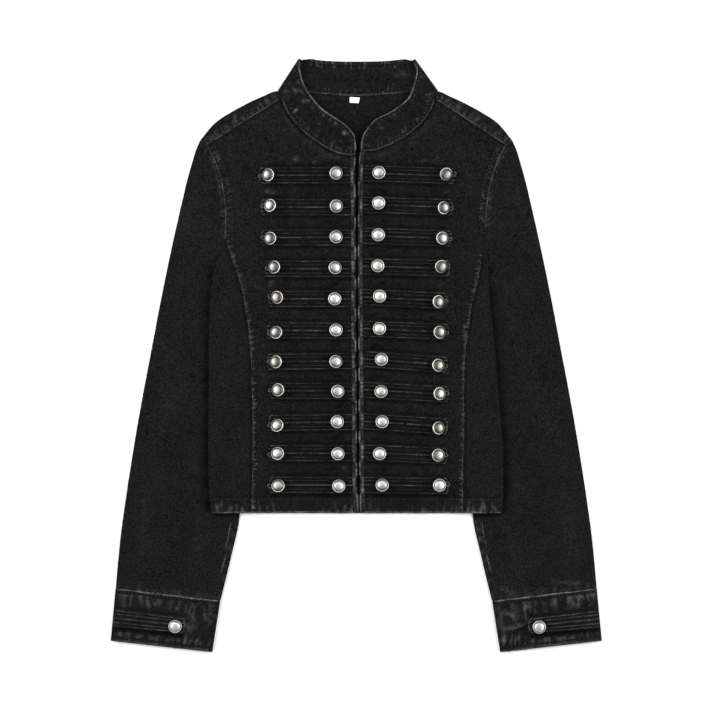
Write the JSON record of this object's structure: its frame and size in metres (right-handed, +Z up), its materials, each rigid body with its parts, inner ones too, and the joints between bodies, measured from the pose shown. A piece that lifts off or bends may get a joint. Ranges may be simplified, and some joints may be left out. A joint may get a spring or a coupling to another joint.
{
  "type": "denim jacket",
  "caption": "Cropped denim jacket laid flat, front up, with a band collar, ribbed bands ending in domed metal buttons, princess seams and cuffs with buttoned tabs.",
  "frame": {"origin": "middle of the bounding box in plan, on the surface that the jacket lies on", "axes": "+X across the jacket towards the sleeve at the right of a viewer looking down on its front, +Y towards the collar, +Z up out of the front"},
  "size_m": [0.5708, 0.6898, 0.0169],
  "materials": {
    "denim": "washed black denim, matt, faded on its seams and edges",
    "ribbed_denim": "black denim stitched in close ribs, faded on the ribs",
    "button_metal": "antique silver, domed, worn bright on the dome and rim"
  },
  "bodies": {
    "root": {"back": "denim", "front_left": "denim", "front_right": "denim", "side_front_left": "denim", "side_front_right": "denim", "sleeve_left": "denim", "sleeve_right": "denim", "collar": "denim", "cuff_left": "denim", "cuff_right": "denim", "bands_left": "ribbed_denim", "bands_right": "ribbed_denim", "cuff_tab_left": "ribbed_denim", "cuff_tab_right": "ribbed_denim", "button_left_outer_01": "button_metal", "button_left_outer_02": "button_metal", "button_left_outer_03": "button_metal", "button_left_outer_04": "button_metal", "button_left_outer_05": "button_metal", "button_left_outer_06": "button_metal", "button_left_outer_07": "button_metal", "button_left_outer_08": "button_metal", "button_left_outer_09": "button_metal", "button_left_outer_10": "button_metal", "button_left_outer_11": "button_metal", "button_left_inner_01": "button_metal", "button_left_inner_02": "button_metal", "button_left_inner_03": "button_metal", "button_left_inner_04": "button_metal", "button_left_inner_05": "button_metal", "button_left_inner_06": "button_metal", "button_left_inner_07": "button_metal", "button_left_inner_08": "button_metal", "button_left_inner_09": "button_metal", "button_left_inner_10": "button_metal", "button_left_inner_11": "button_metal", "button_right_inner_01": "button_metal", "button_right_inner_02": "button_metal", "button_right_inner_03": "button_metal", "button_right_inner_04": "button_metal", "button_right_inner_05": "button_metal", "button_right_inner_06": "button_metal", "button_right_inner_07": "button_metal", "button_right_inner_08": "button_metal", "button_right_inner_09": "button_metal", "button_right_inner_10": "button_metal", "button_right_inner_11": "button_metal", "button_right_outer_01": "button_metal", "button_right_outer_02": "button_metal", "button_right_outer_03": "button_metal", "button_right_outer_04": "button_metal", "button_right_outer_05": "button_metal", "button_right_outer_06": "button_metal", "button_right_outer_07": "button_metal", "button_right_outer_08": "button_metal", "button_right_outer_09": "button_metal", "button_right_outer_10": "button_metal", "button_right_outer_11": "button_metal", "button_cuff_left": "button_metal", "button_cuff_right": "button_metal"}
  },
  "joints": []
}
